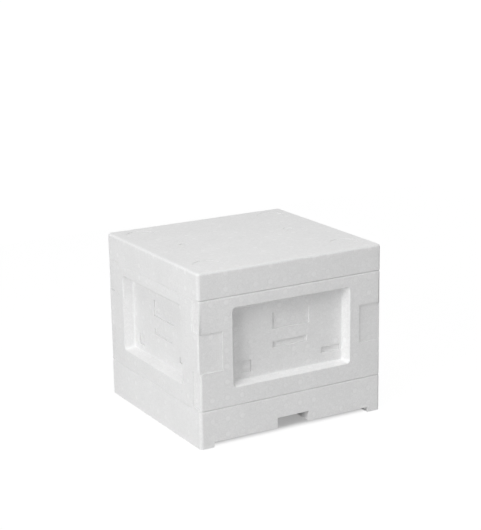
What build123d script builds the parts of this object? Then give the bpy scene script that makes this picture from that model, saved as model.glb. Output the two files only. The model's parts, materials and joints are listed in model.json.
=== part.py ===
from build123d import *
from math import atan2, degrees
import os

# A foam mini hive for raising queens: a floor tray, a brood body with six small frames and a flat roof.
# Millimetres, Z up. The origin is the middle of the footprint, on the ground. The entrance faces -Y.
# The three mouldings are drawn stacked, each seated on the raised lip of the one below.

# Outer form of the three mouldings
hive_width = 310.0
hive_depth = 290.0
upright_radius = 5.5
edge_radius = 4.0
floor_height = 57.5
body_height = 163.0
roof_height = 39.0

# Raised lip on the floor and the body, and the rebate that seats on it
lip_inset = 12.0
lip_height = 10.5
lip_corner_radius = 7.0
lip_edge_chamfer = 1.8
rim_width = 20.0
seat_clearance = 0.4

# Space inside the body
ledge_width = 10.5
bee_space = 8.0
inner_corner_radius = 3.0

# Grip recess in each side of the body, with its bare label fields
recess_end_margin_front = 56.0
recess_end_margin_side = 50.0
recess_bottom_margin = 27.0
recess_top_margin = 19.0
recess_depth = 16.5
recess_draft = 2.5
recess_corner_radius = 5.0
recess_floor_radius = 2.2
recess_rim_chamfer = 1.2
field_depth = 2.0
large_field = (63.0, 25.0)
large_field_place = (7.0, 82.0)
narrow_field = (58.0, 9.0)
narrow_field_place = (5.0, 46.0)
square_field = (17.5, 18.0)
square_field_margin = (18.0, 12.0)
small_field = (33.0, 9.0)
small_field_margin = (4.0, 18.0)

# Shallow bands where the mould parts meet at the corners
band_depth = 1.4
band_width = 20.0
band_foot = 3.0
patch_width = 38.5
patch_bottom = 55.5
patch_height = 58.0

# Shallow round fields in the top of the roof
disc_depth = 0.6
corner_disc_radius = 22.0
corner_disc_margin = 39.0
centre_disc_radius = 8.0
centre_disc_spacing = 181.0
centre_disc_shift = 12.0

# Chamber and feed trough in the floor
chamber_depth = 146.0
chamber_floor_z = 27.0
chamber_draft = 3.0
chamber_corner_radius = 8.5
chamber_floor_radius = 5.0
partition_width = 10.0
partition_drop = 6.0
trough_floor_z = 18.0
trough_corner_radius = 8.5
trough_floor_radius = 5.0
trough_back_wall = 36.0
cover_rebate = 8.0
cover_rebate_start = 4.0

# Underside of the floor: two runners, an air gap and the entrance
runner_width = 22.5
air_gap = 8.0
entrance_width = 54.0
entrance_height = 15.0

# Ventilation grille
grille_thickness = 2.5
grille_margin = 1.0
grille_ledge = 5.0
grille_border = 6.0
grille_corner_radius = 10.0
grille_clearance = 0.4
slot_width = 1.0
slot_pitch = 2.4
slot_length = 53.0
slot_bridge = 4.0
bee_hole_width = 60.0
bee_hole_depth = 24.0
bee_hole_border = 4.0
bee_hole_shift = -3.0

# Frames
frame_count = 6
widest_frame_pitch = 35.0
frame_clearance = 0.3
side_gap = 4.0
end_gap = 1.5
joinery_gap = 0.1
top_bar_width = 25.0
top_bar_thickness = 9.0
top_bar_neck = 14.0
groove_width = 3.0
groove_depth = 3.5
side_bar_thickness = 8.0
side_bar_lower_width = 24.0
shoulder_height = 56.0
bottom_bar_width = 15.0
bottom_bar_thickness = 8.0
wire_radius = 0.25
wire_sides = 8
wire_hole_radius = 0.8
wire_gap = 0.15
upper_wire_drop = 48.0
wire_spacing = 58.0

# Heights that follow from the stack
body_z = floor_height
roof_z = floor_height + body_height
lip_top_floor = floor_height + lip_height
lip_top_body = roof_z + lip_height
bar_top_z = lip_top_body - bee_space
ledge_z = bar_top_z - top_bar_thickness
frame_bottom_z = lip_top_floor
partition_top_z = lip_top_floor - partition_drop

# Widths that follow from the walls
lip_width = hive_width - 2 * lip_inset
lip_depth = hive_depth - 2 * lip_inset
opening_width = lip_width - 2 * rim_width
inner_width = opening_width - 2 * ledge_width
inner_depth = lip_depth - 2 * rim_width
frame_width = inner_width - 2 * side_gap
room_per_frame = (inner_depth - 2 * frame_clearance) / frame_count
frame_pitch = min(widest_frame_pitch, room_per_frame)
top_bar_length = opening_width - 2 * end_gap
front_y = -hive_depth / 2
chamber_front_y = -inner_depth / 2
chamber_back_y = chamber_front_y + chamber_depth
trough_front_y = chamber_back_y + partition_width
trough_back_y = hive_depth / 2 - trough_back_wall
overcut = 5.0


def slab(width, depth, radius, z, height):
    """A level slab with rounded upright edges, standing on height z."""
    outline = Plane.XY.offset(z) * RectangleRounded(width, depth, radius)
    return extrude(outline, height)


def span(x0, x1, y0, y1, z0, z1):
    """A plain box between two corners."""
    return Pos((x0 + x1) / 2, (y0 + y1) / 2, (z0 + z1) / 2) * Box(x1 - x0, y1 - y0, z1 - z0)


def round_top(solid, radius):
    """Rounds the edges round the highest face."""
    top = solid.faces().sort_by(Axis.Z)[-1]
    return fillet(top.edges(), radius)


def round_bottom(solid, radius):
    """Rounds the edges round the lowest face."""
    bottom = solid.faces().sort_by(Axis.Z)[0]
    return fillet(bottom.edges(), radius)


def stacking_block(z, height):
    """The outer block of a tier, with the raised lip that the next tier seats on."""
    block = round_top(slab(hive_width, hive_depth, upright_radius, z, height), edge_radius)
    lip = slab(lip_width, lip_depth, lip_corner_radius, z + height - edge_radius, lip_height + edge_radius)
    lip_top = lip.faces().sort_by(Axis.Z)[-1]
    return block + chamfer(lip_top.edges(), lip_edge_chamfer)


def lip_rebate(z):
    """The space under a tier that takes the lip of the tier below."""
    width = lip_width + 2 * seat_clearance
    depth = lip_depth + 2 * seat_clearance
    return slab(width, depth, lip_corner_radius + seat_clearance, z, lip_height + seat_clearance)


def side_planes():
    """The planes of the four sides, seen from outside, each with the width of its grip recess."""
    front = hive_width - 2 * recess_end_margin_front
    side = hive_depth - 2 * recess_end_margin_side
    for turn, reach, width in ((0, hive_depth, front), (90, hive_width, side),
                               (180, hive_depth, front), (270, hive_width, side)):
        across = Vector(1, 0, 0).rotate(Axis.Z, turn)
        outward = Vector(0, -1, 0).rotate(Axis.Z, turn)
        yield Plane(origin=outward * (reach / 2), x_dir=across, z_dir=outward), width


def recess_cut(plane, width):
    """A drafted grip recess with rounded floor edges."""
    low = body_z + recess_bottom_margin
    high = roof_z - recess_top_margin
    mouth = plane * Pos(0, (low + high) / 2) * RectangleRounded(width, high - low, recess_corner_radius)
    draft_angle = degrees(atan2(recess_draft, recess_depth))
    pocket = extrude(mouth, -recess_depth, taper=draft_angle)
    depth_axis = Axis(plane.origin, -plane.z_dir)
    deepest = pocket.faces().sort_by(depth_axis)[-1]
    return fillet(deepest.outer_wire().edges(), recess_floor_radius)


def rim_edges(body, plane, width):
    """The edges where a grip recess meets the face of the body."""
    mid_z = body_z + body_height / 2
    found = []
    for edge in body.edges():
        place = plane.to_local_coords(edge.center())
        inside = abs(place.X) < width / 2 + 1 and abs(place.Y - mid_z) < body_height / 2 - edge_radius - 1
        if inside and abs(place.Z) < 0.01:
            found.append(edge)
    return found


def field_cuts(plane, width):
    """The four bare label fields sunk into the floor of a grip recess."""
    low = body_z + recess_bottom_margin
    half = width / 2 - recess_draft
    square_x = -half + square_field_margin[0] + square_field[0] / 2
    square_z = low + square_field_margin[1] + square_field[1] / 2
    small_x = half - small_field_margin[0] - small_field[0] / 2
    small_z = low + small_field_margin[1] + small_field[1] / 2
    places = ((large_field, large_field_place[0], low + large_field_place[1]),
              (narrow_field, narrow_field_place[0], low + narrow_field_place[1]),
              (square_field, square_x, square_z),
              (small_field, small_x, small_z))
    for size, x, z in places:
        yield extrude(plane * Pos(x, z, -recess_depth - field_depth) * Rectangle(*size), field_depth + 1)


def corner_band_cuts():
    """The shallow bands beside each upright corner, broken off where a patch takes over."""
    patch_z = body_z + patch_bottom
    x_out = hive_width / 2
    y_out = hive_depth / 2
    for sx in (-1, 1):
        for sy in (-1, 1):
            for z0, z1 in ((body_z + band_foot, patch_z), (patch_z + patch_height, roof_z + overcut)):
                band = span(x_out - band_depth, x_out + overcut, y_out - band_width, y_out + overcut, z0, z1)
                yield mirrored(band, sx, sy)
            lip_x = lip_width / 2
            lip_band = span(lip_x - band_depth, lip_x + overcut, y_out - band_width, y_out,
                            roof_z, lip_top_body + 1)
            yield mirrored(lip_band, sx, sy)
            patch = span(x_out - patch_width, x_out + overcut, y_out - band_depth, y_out + overcut,
                         patch_z, patch_z + patch_height)
            yield mirrored(patch, sx, sy)


def mirrored(solid, sx, sy):
    """A copy carried to the corner with the given signs."""
    if sx < 0:
        solid = solid.mirror(Plane.YZ)
    if sy < 0:
        solid = solid.mirror(Plane.XZ)
    return solid


def tapered_pocket(y0, y1, z0, corner, floor_radius, draft):
    """A drafted pocket as wide as the opening, from y0 to y1 at the lip and closed at height z0."""
    height = lip_top_floor - z0
    mid = (y0 + y1) / 2
    mouth = Plane.XY.offset(lip_top_floor) * Pos(0, mid) * RectangleRounded(opening_width, y1 - y0, corner)
    pocket = extrude(mouth, -height, taper=degrees(atan2(draft, height)))
    return round_bottom(pocket, floor_radius)


def grille_outline(grow):
    """The outline of the ventilation grille in the flat of the chamber floor."""
    reach = chamber_draft + chamber_floor_radius + grille_margin
    width = opening_width - 2 * reach
    depth = chamber_depth - 2 * reach
    mid = (chamber_front_y + chamber_back_y) / 2
    return Pos(0, mid) * RectangleRounded(width + 2 * grow, depth + 2 * grow, grille_corner_radius + grow)


def make_floor_tray():
    tray = stacking_block(0, floor_height)
    tray -= tapered_pocket(chamber_front_y, chamber_back_y, chamber_floor_z, chamber_corner_radius,
                           chamber_floor_radius, chamber_draft)
    tray -= tapered_pocket(trough_front_y, trough_back_y, trough_floor_z, trough_corner_radius,
                           trough_floor_radius, chamber_draft)
    wall_end_y = trough_front_y + chamber_corner_radius
    tray -= span(-opening_width / 2, opening_width / 2, chamber_back_y - 1, wall_end_y,
                 partition_top_z, lip_top_floor + 1)
    half = opening_width / 2 + cover_rebate
    tray -= span(-half, half, chamber_back_y + cover_rebate_start, trough_back_y + cover_rebate,
                 partition_top_z, lip_top_floor + 1)
    runner_x = hive_width / 2 - runner_width
    tray -= span(-runner_x, runner_x, front_y - 1, -front_y + 1, -1, air_gap)
    seat_z = chamber_floor_z - grille_thickness
    tray -= extrude(Plane.XY.offset(seat_z) * grille_outline(grille_clearance), overcut)
    window = grille_outline(-grille_ledge)
    tray -= extrude(Plane.XY.offset(air_gap - 1) * window, chamber_floor_z)
    passage_end = window.bounding_box().min.Y + 1
    tray -= span(-entrance_width / 2, entrance_width / 2, front_y - 1, passage_end,
                 air_gap - 1, air_gap + entrance_height)
    return tray


def make_floor_grille():
    sheet = grille_outline(0)
    box = sheet.bounding_box()
    columns = int((box.size.X - 2 * grille_border) / slot_pitch)
    row_pitch = slot_length + slot_bridge
    rows = int((box.size.Y - 2 * grille_border + slot_bridge) / row_pitch)
    centre = Pos(box.center().X, box.center().Y)
    slots = centre * GridLocations(slot_pitch, row_pitch, columns, rows) * Rectangle(slot_width, slot_length)
    hole_place = centre * Pos(0, bee_hole_shift)
    sheet -= slots
    sheet += hole_place * RectangleRounded(bee_hole_width + 2 * bee_hole_border,
                                           bee_hole_depth + 2 * bee_hole_border, bee_hole_depth / 2)
    sheet -= hole_place * RectangleRounded(bee_hole_width, bee_hole_depth, bee_hole_depth / 2 - bee_hole_border)
    return extrude(Plane.XY.offset(chamber_floor_z - grille_thickness) * sheet, grille_thickness)


def make_brood_body():
    body = stacking_block(body_z, body_height)
    body -= lip_rebate(body_z)
    body -= slab(inner_width, inner_depth, inner_corner_radius, body_z, body_height + 2 * lip_height)
    body -= slab(opening_width, inner_depth, inner_corner_radius, ledge_z, body_height)
    for plane, width in side_planes():
        body -= recess_cut(plane, width)
        body = chamfer(rim_edges(body, plane, width), recess_rim_chamfer)
        for cut in field_cuts(plane, width):
            body -= cut
    for cut in corner_band_cuts():
        body -= cut
    return body


def make_roof():
    roof = round_top(slab(hive_width, hive_depth, upright_radius, roof_z, roof_height), edge_radius)
    roof -= lip_rebate(roof_z)
    disc_z = roof_z + roof_height - disc_depth
    corner_x = hive_width / 2 - corner_disc_margin
    corner_y = hive_depth / 2 - corner_disc_margin
    corner_disc = Plane.XY.offset(disc_z) * Circle(corner_disc_radius)
    centre_disc = Plane.XY.offset(disc_z) * Pos(0, centre_disc_shift) * Circle(centre_disc_radius)
    for place in GridLocations(2 * corner_x, 2 * corner_y, 2, 2):
        roof -= place * extrude(corner_disc, overcut)
    for place in GridLocations(centre_disc_spacing, 0, 2, 1):
        roof -= place * extrude(centre_disc, overcut)
    return roof


def frame_y(number):
    """The middle of a frame. Number 1 is at the back, and the pack is pushed up to the front wall."""
    from_front = frame_count - number
    return -inner_depth / 2 + frame_clearance + frame_pitch * (from_front + 0.5)


def make_top_bar():
    half = frame_width / 2
    bar = span(-top_bar_length / 2, top_bar_length / 2, -top_bar_width / 2, top_bar_width / 2, ledge_z, bar_top_z)
    for side in (-1, 1):
        for edge in (-1, 1):
            x = side * (half - side_bar_thickness / 2)
            notch_depth = (top_bar_width - top_bar_neck) / 2
            y = edge * (top_bar_neck / 2 + notch_depth / 2 + 1)
            bar -= Pos(x, y, ledge_z) * Box(side_bar_thickness + 2 * joinery_gap, notch_depth + 2,
                                            3 * top_bar_thickness)
    inside = half - side_bar_thickness
    bar -= span(-inside, inside, -groove_width / 2, groove_width / 2, ledge_z - 1, ledge_z + groove_depth)
    return bar


def make_side_bar(side):
    """A spacing side bar: wide shoulders above that meet the next frame, a narrow leg below."""
    wide = (frame_pitch - frame_clearance) / 2
    narrow = side_bar_lower_width / 2
    slope_z = bar_top_z - shoulder_height
    leg_z = slope_z - (wide - narrow)
    right = [(wide, bar_top_z), (wide, slope_z), (narrow, leg_z), (narrow, frame_bottom_z)]
    left = [(-y, z) for y, z in reversed(right)]
    profile = Plane.YZ * make_face(Polyline(*right, *left, close=True))
    bar = extrude(profile, side_bar_thickness / 2, both=True)
    neck = top_bar_neck / 2 + joinery_gap
    reach = side_bar_thickness
    bar -= span(-reach, reach, -neck, neck, ledge_z, bar_top_z + 1)
    foot = bottom_bar_width / 2 + joinery_gap
    bar -= span(-reach, reach, -foot, foot, frame_bottom_z - 1, frame_bottom_z + bottom_bar_thickness)
    for z in wire_heights():
        bar -= Pos(0, 0, z) * Rot(0, 90, 0) * Cylinder(wire_hole_radius, 2 * side_bar_thickness)
    return Pos(side * (frame_width - side_bar_thickness) / 2, 0, 0) * bar


def make_bottom_bar():
    half = frame_width / 2
    return span(-half, half, -bottom_bar_width / 2, bottom_bar_width / 2,
                frame_bottom_z, frame_bottom_z + bottom_bar_thickness)


def wire_heights():
    """The heights of the two wire runs, the upper one first."""
    upper = ledge_z - upper_wire_drop
    return upper, upper - wire_spacing


def make_wires():
    """One wire, laced through both side bars, with sharp bends where it runs down outside the right one."""
    upper, lower = wire_heights()
    start = -frame_width / 2 - wire_gap
    turn = frame_width / 2 + wire_gap + wire_radius
    path = Polyline((start, 0, upper), (turn, 0, upper), (turn, 0, lower), (start, 0, lower))
    section = Plane(origin=(start, 0, upper), z_dir=(1, 0, 0)) * RegularPolygon(wire_radius, wire_sides)
    return sweep(section, path, transition=Transition.RIGHT)


def save(shape, name):
    export_step(shape, os.path.join("parts", name + ".step"))


os.makedirs("parts", exist_ok=True)
save(make_floor_tray(), "floor_tray")
save(make_floor_grille(), "floor_grille")
save(make_brood_body(), "brood_body")
save(make_roof(), "roof")

frame_pieces = {"top_bar": make_top_bar(), "side_bar_left": make_side_bar(-1),
                "side_bar_right": make_side_bar(1), "bottom_bar": make_bottom_bar(), "wires": make_wires()}
for number in range(1, frame_count + 1):
    for name, piece in frame_pieces.items():
        save(Pos(0, frame_y(number), 0) * piece, f"{name}_{number}")
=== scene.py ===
import json
import math

import bmesh
import bpy
from mathutils import Matrix, Vector

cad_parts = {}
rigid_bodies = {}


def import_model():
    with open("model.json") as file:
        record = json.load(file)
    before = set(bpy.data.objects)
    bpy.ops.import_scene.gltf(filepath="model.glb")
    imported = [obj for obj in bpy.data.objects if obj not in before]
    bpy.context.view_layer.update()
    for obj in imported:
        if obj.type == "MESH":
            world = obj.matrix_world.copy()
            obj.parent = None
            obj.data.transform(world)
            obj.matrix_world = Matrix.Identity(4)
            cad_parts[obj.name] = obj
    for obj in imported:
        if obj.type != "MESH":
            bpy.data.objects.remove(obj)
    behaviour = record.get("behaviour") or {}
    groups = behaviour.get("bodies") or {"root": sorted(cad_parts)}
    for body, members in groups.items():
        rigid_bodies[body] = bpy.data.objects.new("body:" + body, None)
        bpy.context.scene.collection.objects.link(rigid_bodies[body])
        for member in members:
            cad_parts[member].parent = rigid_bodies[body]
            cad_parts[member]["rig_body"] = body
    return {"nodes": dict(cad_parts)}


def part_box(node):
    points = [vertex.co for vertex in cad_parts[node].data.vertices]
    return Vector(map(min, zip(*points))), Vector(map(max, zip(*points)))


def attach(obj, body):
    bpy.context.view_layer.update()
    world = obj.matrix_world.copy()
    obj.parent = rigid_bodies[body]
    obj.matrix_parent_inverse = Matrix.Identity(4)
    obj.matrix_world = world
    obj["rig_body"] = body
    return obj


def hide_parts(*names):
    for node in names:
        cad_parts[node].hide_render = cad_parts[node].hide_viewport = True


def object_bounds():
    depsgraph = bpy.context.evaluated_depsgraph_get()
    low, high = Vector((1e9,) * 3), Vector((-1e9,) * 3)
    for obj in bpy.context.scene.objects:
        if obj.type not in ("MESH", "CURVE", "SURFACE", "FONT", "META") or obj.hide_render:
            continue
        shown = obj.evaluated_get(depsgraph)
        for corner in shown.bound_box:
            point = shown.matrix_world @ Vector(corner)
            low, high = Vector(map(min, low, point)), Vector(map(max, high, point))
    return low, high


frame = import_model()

cad_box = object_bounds()
nodes = frame["nodes"]

# Real sizes in metres. Whatever follows the CAD is read from the frame.
mm = 0.001
frame_count = sum(name.startswith("top_bar_") for name in nodes)
bead_size = 3.4 * mm
bead_wander = 1.6 * mm
bead_relief = 0.10 * mm
grain_relief = 0.12 * mm
plastic_relief = 0.04 * mm
mark_radius = 5.0 * mm
mark_pitch_across = 24.4 * mm
mark_pitch_up = 23.5 * mm
mark_start_floor = 4.0 * mm
mark_start_body = 1.75 * mm
mark_start_roof = 8.0 * mm
# Reach of the painted shade that darkens tight inner corners
corner_shade_reach = 1.5 * mm
# How far the painted gap shade reaches in from the edges of a bar's top
gap_shade_creep = 3.2 * mm
handled_from = 92 * mm
handled_to = 116 * mm

# How many times fine textures repeat in a metre
wander_scale = 120.0
speckle_scale = 900.0
# Uneven runs of the painted gap shade along a bar
gap_shade_run_scale = 34.0
pore_scale = 2200.0
plastic_grain_scale = 2600.0

# Merging and smoothing of the copies
weld_distance = 0.002 * mm
flat_angle = math.radians(0.4)
moulding_sharp = math.radians(32)
board_sharp = math.radians(30)
board_rounding = 0.35 * mm
rounding_angle = math.radians(40)

# Nail heads, two at each top joint
nail_radius = 1.5 * mm
nail_top_radius = 1.3 * mm
nail_height = 0.5 * mm
nail_rise = 0.1 * mm
nail_rounding = 0.12 * mm
nail_aside = 1.0 * mm
nail_apart = 4.0 * mm

# Colours. Each board has its pale wood and its darker growth lines.
seam_colour = (0.60, 0.60, 0.60, 1.0)
# Grey of the painted shade in tight inner corners
corner_shade_colour = (0.45, 0.45, 0.45, 1.0)
floor_foam_colour = (0.91, 0.91, 0.91, 1.0)
foam_colour = (0.90, 0.90, 0.90, 1.0)
grille_colour = (0.88, 0.88, 0.87, 1.0)
wire_colour = (0.62, 0.63, 0.65, 1.0)
nail_colour = (0.20, 0.21, 0.24, 1.0)
# Olive and amber painted shade for the gaps between the bars
gap_shade_olive = (0.25, 0.130, 0.004, 1.0)
gap_shade_amber = (0.42, 0.110, 0.002, 1.0)
handled_colour = (0.78, 0.40, 0.22, 1.0)
end_grain_colour = (0.70, 0.38, 0.21, 1.0)
pore_colour = (0.42, 0.18, 0.08, 1.0)
board_colours = (
    ((0.98, 0.90, 0.68, 1.0), (0.90, 0.78, 0.52, 1.0)),
    ((0.98, 0.83, 0.62, 1.0), (0.88, 0.66, 0.42, 1.0)),
    ((0.98, 0.91, 0.69, 1.0), (0.90, 0.79, 0.53, 1.0)),
    ((0.98, 0.87, 0.68, 1.0), (0.90, 0.74, 0.51, 1.0)),
    ((0.98, 0.89, 0.68, 1.0), (0.90, 0.77, 0.52, 1.0)),
    ((0.98, 0.87, 0.66, 1.0), (0.90, 0.74, 0.50, 1.0)),
)

# Studio: each lamp with its place, size in metres and power in watts
lamps = (
    ("key", Vector((-2.75, -1.30, 1.34)), 1.4, 43.5),
    ("overhead", Vector((-0.55, -0.90, 2.65)), 2.0, 31.5),
    ("fill", Vector((2.60, 1.30, 0.95)), 2.0, 16.0),
)
lamp_aim = Vector((0.0, 0.0, 0.15))
white = (1.0, 1.0, 1.0, 1.0)
floor_half_size = 25.0
floor_colour = (0.70, 0.70, 0.70, 1.0)
soft_light = 0.27
paper_glow = 1.06
paper_share_under = 0.30
paper_share_open = 0.90
paper_share_far = 0.98

# The photograph's height in pixels, and the camera fitted to the corners of the three mouldings
photo_height = 530
focal_pixels = 1459.8
sensor_size = 36.0
camera_azimuth = math.radians(-29.93)
camera_pitch = math.radians(14.96)
camera_roll = math.radians(-0.88)
camera_place = Vector((-1.0685, -1.8524, 0.7890))


# Node trees


def put(tree, kind, inputs=None, **settings):
    """Adds one shader node with these settings.
    Each input is given by name or number, as a value or as a socket to link."""
    made = tree.nodes.new("ShaderNode" + kind)
    for name, value in settings.items():
        setattr(made, name, value)
    for key, value in (inputs or {}).items():
        if isinstance(value, bpy.types.NodeSocket):
            tree.links.new(value, made.inputs[key])
        else:
            made.inputs[key].default_value = value
    return made


def calc(tree, operation, first, second=0.0):
    """The result of one Math node."""
    return put(tree, "Math", {0: first, 1: second}, operation=operation).outputs[0]


def ramp(tree, value, low, high, to_low=0.0, to_high=1.0):
    """The value carried smoothly from the span low..high to the span to_low..to_high."""
    inputs = {"Value": value, "From Min": low, "From Max": high,
              "To Min": to_low, "To Max": to_high}
    return put(tree, "MapRange", inputs, interpolation_type="SMOOTHSTEP").outputs["Result"]


def blend_colours(tree, factor, first, second, mode="MIX"):
    """Two colours mixed by factor."""
    inputs = {"Factor": factor, 6: first, 7: second}
    return put(tree, "Mix", inputs, data_type="RGBA", blend_type=mode).outputs[2]


def new_group(name, inputs, outputs):
    """An empty shader group, with its input sockets and its output sockets."""
    tree = bpy.data.node_groups.new(name, "ShaderNodeTree")
    for label, kind, value in inputs:
        socket = tree.interface.new_socket(label, in_out="INPUT", socket_type="NodeSocket" + kind)
        if value is not None:
            socket.default_value = value
    for label, kind in outputs:
        tree.interface.new_socket(label, in_out="OUTPUT", socket_type="NodeSocket" + kind)
    return tree, tree.nodes.new("NodeGroupInput").outputs, tree.nodes.new("NodeGroupOutput").inputs


def use_group(tree, group, inputs):
    """Places a group in a tree and gives its outputs."""
    return put(tree, "Group", inputs, node_tree=group).outputs


def bead_group():
    """The skin of moulded bead foam: fused polygonal beads with fine seams between them."""
    tree, given, out = new_group(
        "moulded beads",
        [("Vector", "Vector", None), ("Beads per Metre", "Float", 1 / bead_size),
         ("Seam Width", "Float", 0.12)],
        [("Height", "Float"), ("Seam", "Float"), ("Tone", "Float")])
    wander = put(tree, "TexNoise", {"Vector": given["Vector"], "Scale": wander_scale,
                                    "Detail": 2.0})
    shift = put(tree, "VectorMath", {0: wander.outputs["Color"], 1: (0.5, 0.5, 0.5)},
                operation="SUBTRACT")
    shift = put(tree, "VectorMath", {0: shift.outputs[0], "Scale": bead_wander}, operation="SCALE")
    bent = put(tree, "VectorMath", {0: given["Vector"], 1: shift.outputs[0]}, operation="ADD")
    cells = {"Vector": bent.outputs[0], "Scale": given["Beads per Metre"]}
    edges = put(tree, "TexVoronoi", cells, feature="DISTANCE_TO_EDGE")
    centres = put(tree, "TexVoronoi", cells, feature="F1")
    seam = ramp(tree, edges.outputs["Distance"], 0.0, given["Seam Width"], 1.0, 0.0)
    tone = put(tree, "SeparateColor", {0: centres.outputs["Color"]}).outputs[0]
    dome = calc(tree, "MULTIPLY", centres.outputs["Distance"], -0.35)
    height = calc(tree, "SUBTRACT", dome, seam)
    tree.links.new(height, out["Height"])
    tree.links.new(seam, out["Seam"])
    tree.links.new(tone, out["Tone"])
    return tree


def vent_mark_group():
    """The faint round marks that steam vents leave, on a grid that follows each face."""
    tree, given, out = new_group(
        "vent marks",
        [("Vector", "Vector", None), ("Normal", "Vector", None),
         ("Across", "Float", mark_pitch_across), ("Up", "Float", mark_pitch_up),
         ("Radius", "Float", mark_radius)],
        [("Disc", "Float"), ("Rim", "Float")])
    place = put(tree, "SeparateXYZ", {0: given["Vector"]}).outputs
    facing = put(tree, "SeparateXYZ", {0: given["Normal"]}).outputs
    on_side = calc(tree, "GREATER_THAN", calc(tree, "ABSOLUTE", facing["X"]), 0.7)
    on_level = calc(tree, "GREATER_THAN", calc(tree, "ABSOLUTE", facing["Z"]), 0.7)
    across = put(tree, "Mix", {"Factor": on_side, 2: place["X"], 3: place["Y"]}).outputs[0]
    up = put(tree, "Mix", {"Factor": on_level, 2: place["Z"], 3: place["Y"]}).outputs[0]
    pitch_up = put(tree, "Mix", {"Factor": on_level, 2: given["Up"], 3: given["Across"]}).outputs[0]
    squares = []
    for value, pitch in ((across, given["Across"]), (up, pitch_up)):
        cell = calc(tree, "FRACT", calc(tree, "DIVIDE", value, pitch))
        offset = calc(tree, "MULTIPLY", calc(tree, "SUBTRACT", cell, 0.5), pitch)
        squares.append(calc(tree, "MULTIPLY", offset, offset))
    distance = calc(tree, "SQRT", calc(tree, "ADD", squares[0], squares[1]))
    share = calc(tree, "DIVIDE", distance, given["Radius"])
    disc = ramp(tree, share, 0.45, 1.0, 1.0, 0.0)
    rim = calc(tree, "MULTIPLY", ramp(tree, share, 0.7, 0.9),
               ramp(tree, share, 0.95, 1.15, 1.0, 0.0))
    tree.links.new(disc, out["Disc"])
    tree.links.new(rim, out["Rim"])
    return tree


def mottle_group():
    """Slow, faint changes of tone over a surface, with a fine speckle."""
    tree, given, out = new_group(
        "mottle",
        [("Vector", "Vector", None), ("Patches per Metre", "Float", 22.0)],
        [("Tone", "Float")])
    slow = put(tree, "TexNoise", {"Vector": given["Vector"], "Scale": given["Patches per Metre"],
                                  "Detail": 3.0})
    fine = put(tree, "TexNoise", {"Vector": given["Vector"], "Scale": speckle_scale,
                                  "Detail": 2.0})
    both = calc(tree, "ADD", calc(tree, "MULTIPLY", slow.outputs["Fac"], 0.65),
                calc(tree, "MULTIPLY", fine.outputs["Fac"], 0.35))
    tree.links.new(both, out["Tone"])
    return tree


def grain_group():
    """Planed softwood: growth lines and fibres. The grain runs along X of the vector given."""
    tree, given, out = new_group(
        "wood grain",
        [("Vector", "Vector", None), ("Growth Lines", "Float", 1900.0),
         ("Fibres", "Float", 1500.0)],
        [("Growth", "Float"), ("Fibre", "Float"), ("Height", "Float")])
    stretched = put(tree, "Mapping", {"Vector": given["Vector"], "Scale": (0.06, 1.0, 1.0)})
    stretched = stretched.outputs[0]
    bow = put(tree, "TexNoise", {"Vector": stretched, "Scale": 60.0, "Detail": 2.0,
                                 "Distortion": 0.3})
    bow = calc(tree, "MULTIPLY", bow.outputs["Fac"], 26.0)
    split = put(tree, "SeparateXYZ", {0: stretched}).outputs
    depth = calc(tree, "ADD", split["Y"], calc(tree, "MULTIPLY", split["Z"], 0.6))
    rings = calc(tree, "ADD", calc(tree, "MULTIPLY", depth, given["Growth Lines"]), bow)
    rings = calc(tree, "SINE", rings)
    growth = ramp(tree, rings, 0.1, 1.0)
    fibre = put(tree, "TexNoise", {"Vector": stretched, "Scale": given["Fibres"], "Detail": 4.0})
    fibre = ramp(tree, fibre.outputs["Fac"], 0.3, 0.75)
    height = calc(tree, "SUBTRACT", calc(tree, "MULTIPLY", growth, 0.4), fibre)
    tree.links.new(growth, out["Growth"])
    tree.links.new(fibre, out["Fibre"])
    tree.links.new(height, out["Height"])
    return tree


def corner_shade_group():
    """Painted shade: a faint grey line, from ambient occlusion, where two faces meet in a tight
    inner corner.
    """
    tree, given, out = new_group(
        "painted corner shade",
        [("Reach", "Float", corner_shade_reach), ("Strength", "Float", 0.4)],
        [("Painted Shade", "Float")])
    closeness = put(tree, "AmbientOcclusion", {"Distance": given["Reach"]},
                    samples=8, only_local=True)
    lying = ramp(tree, closeness.outputs["AO"], 0.45, 0.85, 1.0, 0.0)
    tree.links.new(calc(tree, "MULTIPLY", lying, given["Strength"]), out["Painted Shade"])
    return tree


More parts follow.
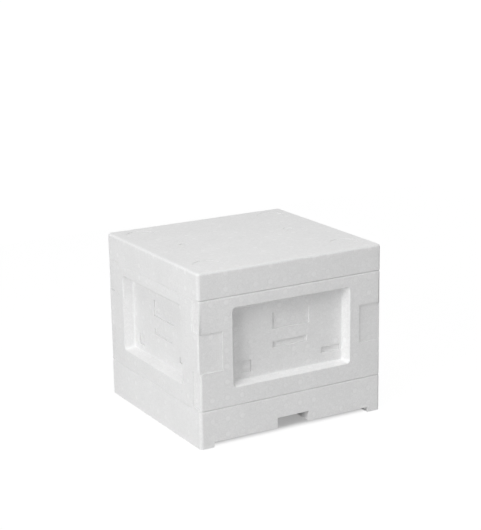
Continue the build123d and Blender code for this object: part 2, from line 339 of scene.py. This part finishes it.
def foam_group():
    """The whole look of the white foam: beads, vent marks, slow tone and painted shade in the
    corners.
    """
    tree, given, out = new_group(
        "bead foam",
        [("Vector", "Vector", None), ("Marks Vector", "Vector", None), ("Normal", "Vector", None),
         ("Colour", "Color", foam_colour)],
        [("Colour", "Color"), ("Roughness", "Float"), ("Height", "Float")])
    skin = use_group(tree, moulded_beads, {"Vector": given["Vector"]})
    marks = use_group(tree, vent_marks, {"Vector": given["Marks Vector"],
                                         "Normal": given["Normal"]})
    patches = use_group(tree, mottle, {"Vector": given["Vector"]})
    # Painted shade: darker where faces meet in tight inner corners
    painted_shade = use_group(tree, painted_corner_shade, {})
    tone = calc(tree, "ADD", calc(tree, "MULTIPLY", skin["Tone"], 0.30),
                calc(tree, "MULTIPLY", patches["Tone"], 0.70))
    deep = blend_colours(tree, 1.0, given["Colour"], (0.95, 0.95, 0.95, 1.0), "MULTIPLY")
    pale = blend_colours(tree, 1.0, given["Colour"], (1.03, 1.03, 1.03, 1.0), "MULTIPLY")
    bright = blend_colours(tree, 1.0, given["Colour"], (1.04, 1.04, 1.04, 1.0), "MULTIPLY")
    base = blend_colours(tree, ramp(tree, tone, 0.1, 0.9), deep, pale)
    base = blend_colours(tree, calc(tree, "MULTIPLY", skin["Seam"], 0.15), base, seam_colour)
    clear = ramp(tree, patches["Tone"], 0.42, 0.60)
    base = blend_colours(tree, calc(tree, "MULTIPLY", marks["Disc"], clear), base, bright)
    base = blend_colours(tree, calc(tree, "MULTIPLY", marks["Rim"], 0.06), base, seam_colour)
    # The painted corner shade darkens the colour here
    base = blend_colours(tree, painted_shade["Painted Shade"], base, corner_shade_colour)
    height = calc(tree, "ADD", skin["Height"], calc(tree, "MULTIPLY", marks["Rim"], -1.6))
    height = calc(tree, "ADD", height, calc(tree, "MULTIPLY", marks["Disc"], 1.2))
    tree.links.new(base, out["Colour"])
    tree.links.new(ramp(tree, skin["Tone"], 0.0, 1.0, 0.62, 0.80), out["Roughness"])
    tree.links.new(height, out["Height"])
    return tree


def gap_shade_group():
    """Painted shade between the bars: amber on the narrow sides of a bar, and creeping in from the
    edges of its top.
    """
    tree, given, out = new_group(
        "painted gap shade",
        [("Vector", "Vector", None), ("Normal", "Vector", None), ("Tone", "Float", 0.5),
         ("Middle", "Float", 0.0), ("Half Width", "Float", 12.5 * mm),
         ("Creep", "Float", gap_shade_creep), ("Amount", "Float", 1.0)],
        [("Mask", "Float"), ("Colour", "Color")])
    facing = put(tree, "SeparateXYZ", {0: given["Normal"]}).outputs
    side = ramp(tree, calc(tree, "ABSOLUTE", facing["Y"]), 0.5, 0.9)
    side = calc(tree, "MULTIPLY", side, ramp(tree, given["Tone"], 0.3, 0.7, 0.85, 1.0))
    level = ramp(tree, calc(tree, "ABSOLUTE", facing["Z"]), 0.5, 0.9)
    run = put(tree, "TexNoise", {"Vector": given["Vector"], "Scale": gap_shade_run_scale,
                                 "Detail": 3.0})
    run = run.outputs["Fac"]
    away = put(tree, "SeparateXYZ", {0: given["Vector"]}).outputs["Y"]
    away = calc(tree, "ABSOLUTE", calc(tree, "SUBTRACT", away, given["Middle"]))
    depth = calc(tree, "DIVIDE", calc(tree, "SUBTRACT", given["Half Width"], away), given["Creep"])
    uneven = calc(tree, "ADD", depth, calc(tree, "MULTIPLY", calc(tree, "SUBTRACT", run, 0.5), 1.3))
    edge = calc(tree, "MULTIPLY", ramp(tree, uneven, 0.35, 1.15, 0.96, 0.0), level)
    mask = calc(tree, "MULTIPLY", calc(tree, "MAXIMUM", side, edge), given["Amount"])
    colour = blend_colours(tree, ramp(tree, given["Tone"], 0.40, 0.58), gap_shade_olive, gap_shade_amber)
    tree.links.new(mask, out["Mask"])
    tree.links.new(colour, out["Colour"])
    return tree


def wood_group():
    """The whole look of a planed bar: grain, pinker handled ends, amber painted shade of the gaps
    between bars and orange end grain.
    Grain Vector and Grain Normal have the grain along X, Vector and Normal are the bar's own."""
    tree, given, out = new_group(
        "planed bar",
        [("Vector", "Vector", None), ("Normal", "Vector", None), ("Grain Vector", "Vector", None),
         ("Grain Normal", "Vector", None), ("Pale", "Color", (0.9, 0.8, 0.7, 1.0)),
         ("Dark", "Color", (0.8, 0.7, 0.5, 1.0)), ("Middle", "Float", 0.0),
         ("Half Width", "Float", 12.5 * mm), ("Gap Shade", "Float", 1.0)],
        [("Colour", "Color"), ("Roughness", "Float"), ("Height", "Float")])
    grain = use_group(tree, wood_grain, {"Vector": given["Grain Vector"]})
    patches = use_group(tree, mottle, {"Vector": given["Grain Vector"], "Patches per Metre": 14.0})
    base = blend_colours(tree, calc(tree, "MULTIPLY", grain["Growth"], 0.70), given["Pale"],
                         given["Dark"])
    fibre_tone = blend_colours(tree, 1.0, given["Dark"], (0.84, 0.84, 0.84, 1.0), "MULTIPLY")
    base = blend_colours(tree, calc(tree, "MULTIPLY", grain["Fibre"], 0.26), base, fibre_tone)
    blush = blend_colours(tree, 1.0, given["Pale"], (1.02, 0.84, 0.70, 1.0), "MULTIPLY")
    base = blend_colours(tree, ramp(tree, patches["Tone"], 0.45, 0.65, 0.0, 0.35), base, blush)
    reach = calc(tree, "ABSOLUTE", put(tree, "SeparateXYZ", {0: given["Vector"]}).outputs["X"])
    handled = calc(tree, "MULTIPLY", ramp(tree, reach, handled_from, handled_to, 0.0, 0.75),
                   patches["Tone"])
    base = blend_colours(tree, handled, base, handled_colour)
    # Amber painted shade on the narrow sides and top edges of a bar, where the gaps between bars
    # lie in shade
    gap_shade = use_group(tree, painted_gap_shade, {"Vector": given["Vector"], "Normal": given["Normal"],
                                      "Tone": patches["Tone"], "Middle": given["Middle"],
                                      "Half Width": given["Half Width"], "Amount": given["Gap Shade"]})
    base = blend_colours(tree, gap_shade["Mask"], base, gap_shade["Colour"])
    along = put(tree, "SeparateXYZ", {0: given["Grain Normal"]}).outputs["X"]
    along = calc(tree, "ABSOLUTE", along)
    pores = put(tree, "TexVoronoi", {"Vector": given["Vector"], "Scale": pore_scale})
    pores = pores.outputs["Distance"]
    cut = blend_colours(tree, ramp(tree, pores, 0.2, 0.6), pore_colour, end_grain_colour)
    end = calc(tree, "GREATER_THAN", along, 0.8)
    base = blend_colours(tree, calc(tree, "MULTIPLY", end, 0.85), base, cut)
    tree.links.new(base, out["Colour"])
    tree.links.new(ramp(tree, grain["Fibre"], 0.0, 1.0, 0.50, 0.68), out["Roughness"])
    tree.links.new(grain["Height"], out["Height"])
    return tree


moulded_beads = bead_group()
vent_marks = vent_mark_group()
mottle = mottle_group()
wood_grain = grain_group()
painted_corner_shade = corner_shade_group()
painted_gap_shade = gap_shade_group()
bead_foam = foam_group()
planed_bar = wood_group()


# Materials


def start_material(name):
    """A material with only its output and its main shader."""
    made = bpy.data.materials.new(name)
    made.use_nodes = True
    made.node_tree.nodes.clear()
    tree = made.node_tree
    shader = put(tree, "BsdfPrincipled")
    output = put(tree, "OutputMaterial")
    tree.links.new(shader.outputs[0], output.inputs[0])
    return made, tree, shader


def foam_material(name, mark_start, colour):
    """White moulded bead foam. The grid of vent marks starts at the height mark_start."""
    made, tree, shader = start_material(name)
    place = put(tree, "TexCoord").outputs
    moved = put(tree, "VectorMath", {0: place["Object"], 1: (0.0, 0.0, mark_start)},
                operation="SUBTRACT")
    look = use_group(tree, bead_foam, {"Vector": place["Object"], "Marks Vector": moved.outputs[0],
                                       "Normal": place["Normal"], "Colour": colour})
    tree.links.new(look["Colour"], shader.inputs["Base Color"])
    tree.links.new(look["Roughness"], shader.inputs["Roughness"])
    bump = put(tree, "Bump", {"Strength": 0.35, "Distance": bead_relief, "Height": look["Height"]})
    tree.links.new(bump.outputs[0], shader.inputs["Normal"])
    shader.inputs["Specular IOR Level"].default_value = 0.35
    return made


def wood_material(name, along, seed, pale, dark, middle, half_width, gap_shade):
    """Planed softwood, its grain along X or Z, for a bar of this middle and half width in Y."""
    made, tree, shader = start_material(name)
    place = put(tree, "TexCoord").outputs
    turn = (0.0, math.radians(90), 0.0) if along == "Z" else (0.0, 0.0, 0.0)
    shifted = put(tree, "Mapping", {"Vector": place["Object"], "Rotation": turn,
                                    "Location": (0.31 * seed, 0.17 * seed, 0.23 * seed)}).outputs[0]
    turned = put(tree, "Mapping", {"Vector": place["Normal"], "Rotation": turn}).outputs[0]
    look = use_group(tree, planed_bar, {
        "Vector": place["Object"], "Normal": place["Normal"], "Grain Vector": shifted,
        "Grain Normal": turned, "Pale": pale, "Dark": dark, "Middle": middle,
        "Half Width": half_width, "Gap Shade": gap_shade})
    tree.links.new(look["Colour"], shader.inputs["Base Color"])
    tree.links.new(look["Roughness"], shader.inputs["Roughness"])
    bump = put(tree, "Bump", {"Strength": 0.5, "Distance": grain_relief, "Height": look["Height"]})
    tree.links.new(bump.outputs[0], shader.inputs["Normal"])
    shader.inputs["Specular IOR Level"].default_value = 0.2
    return made


def steel_material(name, colour, roughness):
    """Drawn or headed steel, duller in patches."""
    made, tree, shader = start_material(name)
    place = put(tree, "TexCoord").outputs["Object"]
    patches = use_group(tree, mottle, {"Vector": place, "Patches per Metre": 260.0})
    dull = tuple(0.6 * part for part in colour[:3]) + (1.0,)
    base = blend_colours(tree, ramp(tree, patches["Tone"], 0.4, 0.7), colour, dull)
    tree.links.new(base, shader.inputs["Base Color"])
    rough = ramp(tree, patches["Tone"], 0.3, 0.7, roughness, roughness + 0.2)
    tree.links.new(rough, shader.inputs["Roughness"])
    shader.inputs["Metallic"].default_value = 1.0
    return made


def plastic_material(name, colour):
    """Matt moulded plastic for the ventilation grille."""
    made, tree, shader = start_material(name)
    place = put(tree, "TexCoord").outputs["Object"]
    patches = use_group(tree, mottle, {"Vector": place, "Patches per Metre": 60.0})
    deep = tuple(0.9 * part for part in colour[:3]) + (1.0,)
    base = blend_colours(tree, patches["Tone"], deep, colour)
    tree.links.new(base, shader.inputs["Base Color"])
    tree.links.new(ramp(tree, patches["Tone"], 0.3, 0.7, 0.42, 0.55), shader.inputs["Roughness"])
    grain = put(tree, "TexNoise", {"Vector": place, "Scale": plastic_grain_scale, "Detail": 2.0})
    bump = put(tree, "Bump", {"Strength": 0.3, "Distance": plastic_relief,
                              "Height": grain.outputs["Fac"]})
    tree.links.new(bump.outputs[0], shader.inputs["Normal"])
    return made


# Pieces


def merged_copy(name, node, finish, sharp, bevel_width=0.0):
    """A welded copy of a CAD node, smooth over its rounded edges, that stands for the node."""
    work = bmesh.new()
    work.from_mesh(nodes[node].data)
    bmesh.ops.remove_doubles(work, verts=work.verts, dist=weld_distance)
    bmesh.ops.dissolve_limit(work, angle_limit=flat_angle, verts=work.verts, edges=work.edges)
    mesh = bpy.data.meshes.new(name)
    work.to_mesh(mesh)
    work.free()
    mesh.shade_smooth()
    mesh.set_sharp_from_angle(angle=sharp)
    mesh.materials.append(finish)
    piece = bpy.data.objects.new(name, mesh)
    bpy.context.scene.collection.objects.link(piece)
    if bevel_width:
        rounding = piece.modifiers.new("edges", "BEVEL")
        rounding.width = bevel_width
        rounding.segments = 2
        rounding.limit_method = "ANGLE"
        rounding.angle_limit = rounding_angle
        rounding.use_clamp_overlap = True
    weights = piece.modifiers.new("normals", "WEIGHTED_NORMAL")
    weights.keep_sharp = True
    weights.weight = 100
    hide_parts(node)
    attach(piece, nodes[node]["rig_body"])
    return piece


def make_mouldings():
    """The three foam mouldings, each with its vent marks starting at its own height."""
    body_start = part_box("brood_body")[0].z + mark_start_body
    for node, label, start, colour in (("floor_tray", "floor", mark_start_floor, floor_foam_colour),
                                       ("brood_body", "body", body_start, foam_colour),
                                       ("roof", "roof", mark_start_roof, foam_colour)):
        finish = foam_material(f"foam of the {label}", start, colour)
        piece = merged_copy(node + "_moulding", node, finish, moulding_sharp)


def make_grille():
    """The ventilation grille in the floor of the chamber."""
    finish = plastic_material("grille plastic", grille_colour)
    piece = merged_copy("floor_grille_sheet", "floor_grille", finish, board_sharp)


def make_frames():
    """Every bar of the six frames with softened edges, in its own board's colour."""
    wire_steel = steel_material("frame wire", wire_colour, 0.25)
    for number in range(1, frame_count + 1):
        pale, dark = board_colours[(number - 1) % len(board_colours)]
        low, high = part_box(f"top_bar_{number}")
        middle = (low.y + high.y) / 2
        # The last value is how much painted gap shade the board gets
        level = wood_material(f"board {number} level", "X", number, pale, dark,
                              middle, (high.y - low.y) / 2, 1.0)
        low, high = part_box(f"side_bar_left_{number}")
        upright = wood_material(f"board {number} upright", "Z", number + 0.5, pale, dark,
                                middle, (high.y - low.y) / 2, 0.3)
        for kind, finish in (("top_bar", level), ("bottom_bar", level),
                             ("side_bar_left", upright), ("side_bar_right", upright)):
            node = f"{kind}_{number}"
            piece = merged_copy(node + "_board", node, finish, board_sharp, board_rounding)
        nodes[f"wires_{number}"].data.materials.clear()
        nodes[f"wires_{number}"].data.materials.append(wire_steel)


def make_nails():
    """Two nail heads at each top joint, over the neck of the top bar."""
    finish = steel_material("nail steel", nail_colour, 0.40)
    for number in range(1, frame_count + 1):
        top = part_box(f"top_bar_{number}")[1].z
        work = bmesh.new()
        for joint in ("left", "right"):
            low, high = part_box(f"side_bar_{joint}_{number}")
            for side in (-1, 1):
                place = Vector(((low.x + high.x) / 2 + side * nail_aside,
                                (low.y + high.y) / 2 + side * nail_apart, top + nail_rise))
                head = bmesh.ops.create_cone(work, cap_ends=True, segments=16, radius1=nail_radius,
                                             radius2=nail_top_radius, depth=nail_height,
                                             matrix=Matrix.Translation(place))
                faces = {face for vertex in head["verts"] for face in vertex.link_faces}
                cap = max(faces, key=lambda face: face.calc_center_median().z)
                bmesh.ops.bevel(work, geom=list(cap.edges), offset=nail_rounding, segments=2,
                                profile=0.5, affect="EDGES", material=-1)
        mesh = bpy.data.meshes.new(f"nails_{number}")
        work.to_mesh(mesh)
        work.free()
        mesh.materials.append(finish)
        piece = bpy.data.objects.new(f"nails_{number}", mesh)
        bpy.context.scene.collection.objects.link(piece)
        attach(piece, f"frame_{number}")


# Studio


def straight_look(tree):
    """One where the camera, a mirror or a clear piece looks at the surface, else nought."""
    path = put(tree, "LightPath").outputs
    mirrored = calc(tree, "MAXIMUM", path["Is Glossy Ray"], path["Is Transmission Ray"])
    return calc(tree, "MAXIMUM", path["Is Camera Ray"], mirrored)


def make_studio():
    """A plain pale floor, soft lamps, and white wherever the camera looks past the object.
    Right under the hive the floor keeps more of its own shade."""
    scene = bpy.context.scene
    scene.view_settings.view_transform = "Standard"

    world = bpy.data.worlds.new("studio")
    scene.world = world
    world.use_nodes = True
    tree = world.node_tree
    tree.nodes.clear()
    soft = put(tree, "Background", {"Color": white, "Strength": soft_light})
    plain = put(tree, "Background", {"Color": white, "Strength": 1.0})
    both = put(tree, "MixShader", {0: straight_look(tree), 1: soft.outputs[0], 2: plain.outputs[0]})
    output = put(tree, "OutputWorld")
    tree.links.new(both.outputs[0], output.inputs[0])

    work = bmesh.new()
    bmesh.ops.create_grid(work, x_segments=8, y_segments=8, size=floor_half_size)
    mesh = bpy.data.meshes.new("studio_floor")
    work.to_mesh(mesh)
    work.free()
    floor = bpy.data.objects.new("studio_floor", mesh)
    scene.collection.objects.link(floor)
    finish, tree, shader = start_material("studio floor")
    shader.inputs["Base Color"].default_value = floor_colour
    shader.inputs["Roughness"].default_value = 0.9
    shader.inputs["Specular IOR Level"].default_value = 0.1
    paper = put(tree, "Emission", {"Color": white, "Strength": paper_glow})
    half_width, half_depth = cad_box[1][0], cad_box[1][1]
    split = put(tree, "SeparateXYZ", {0: put(tree, "TexCoord").outputs["Object"]}).outputs
    across = calc(tree, "DIVIDE", calc(tree, "ABSOLUTE", split["X"]), half_width)
    inwards = calc(tree, "DIVIDE", calc(tree, "ABSOLUTE", split["Y"]), half_depth)
    outside = calc(tree, "MAXIMUM", across, inwards)
    near = ramp(tree, outside, 0.84, 1.0, paper_share_under, paper_share_open)
    far = ramp(tree, outside, 3.0, 9.0, 0.0, paper_share_far)
    clean = calc(tree, "MAXIMUM", near, far)
    share = calc(tree, "MULTIPLY", straight_look(tree), clean)
    lit = put(tree, "MixShader", {0: share, 1: shader.outputs[0], 2: paper.outputs[0]})
    tree.links.new(lit.outputs[0], tree.nodes["Material Output"].inputs[0])
    mesh.materials.append(finish)

    for name, place, size, power in lamps:
        lamp = bpy.data.lights.new(name, "AREA")
        lamp.shape = "SQUARE"
        lamp.size = size
        lamp.energy = power
        lamp_object = bpy.data.objects.new(name, lamp)
        lamp_object.location = place
        lamp_object.visible_camera = False
        lamp_object.rotation_euler = (lamp_aim - place).to_track_quat("-Z", "Y").to_euler()
        scene.collection.objects.link(lamp_object)


def make_camera():
    """The photograph's camera, from the fit to the corners of the mouldings."""
    data = bpy.data.cameras.new("camera")
    data.sensor_fit = "VERTICAL"
    data.sensor_height = sensor_size
    data.lens = sensor_size * focal_pixels / photo_height
    data.clip_start = 0.05
    data.clip_end = 50.0
    camera = bpy.data.objects.new("camera", data)
    bpy.context.scene.collection.objects.link(camera)
    level = (Matrix.Rotation(camera_azimuth, 4, "Z")
             @ Matrix.Rotation(math.pi / 2 - camera_pitch, 4, "X"))
    roll = Matrix.Rotation(camera_roll, 4, "Z")
    camera.matrix_world = Matrix.Translation(camera_place) @ level @ roll
    bpy.context.scene.camera = camera


make_mouldings()
make_grille()
make_frames()
make_nails()
make_studio()
make_camera()
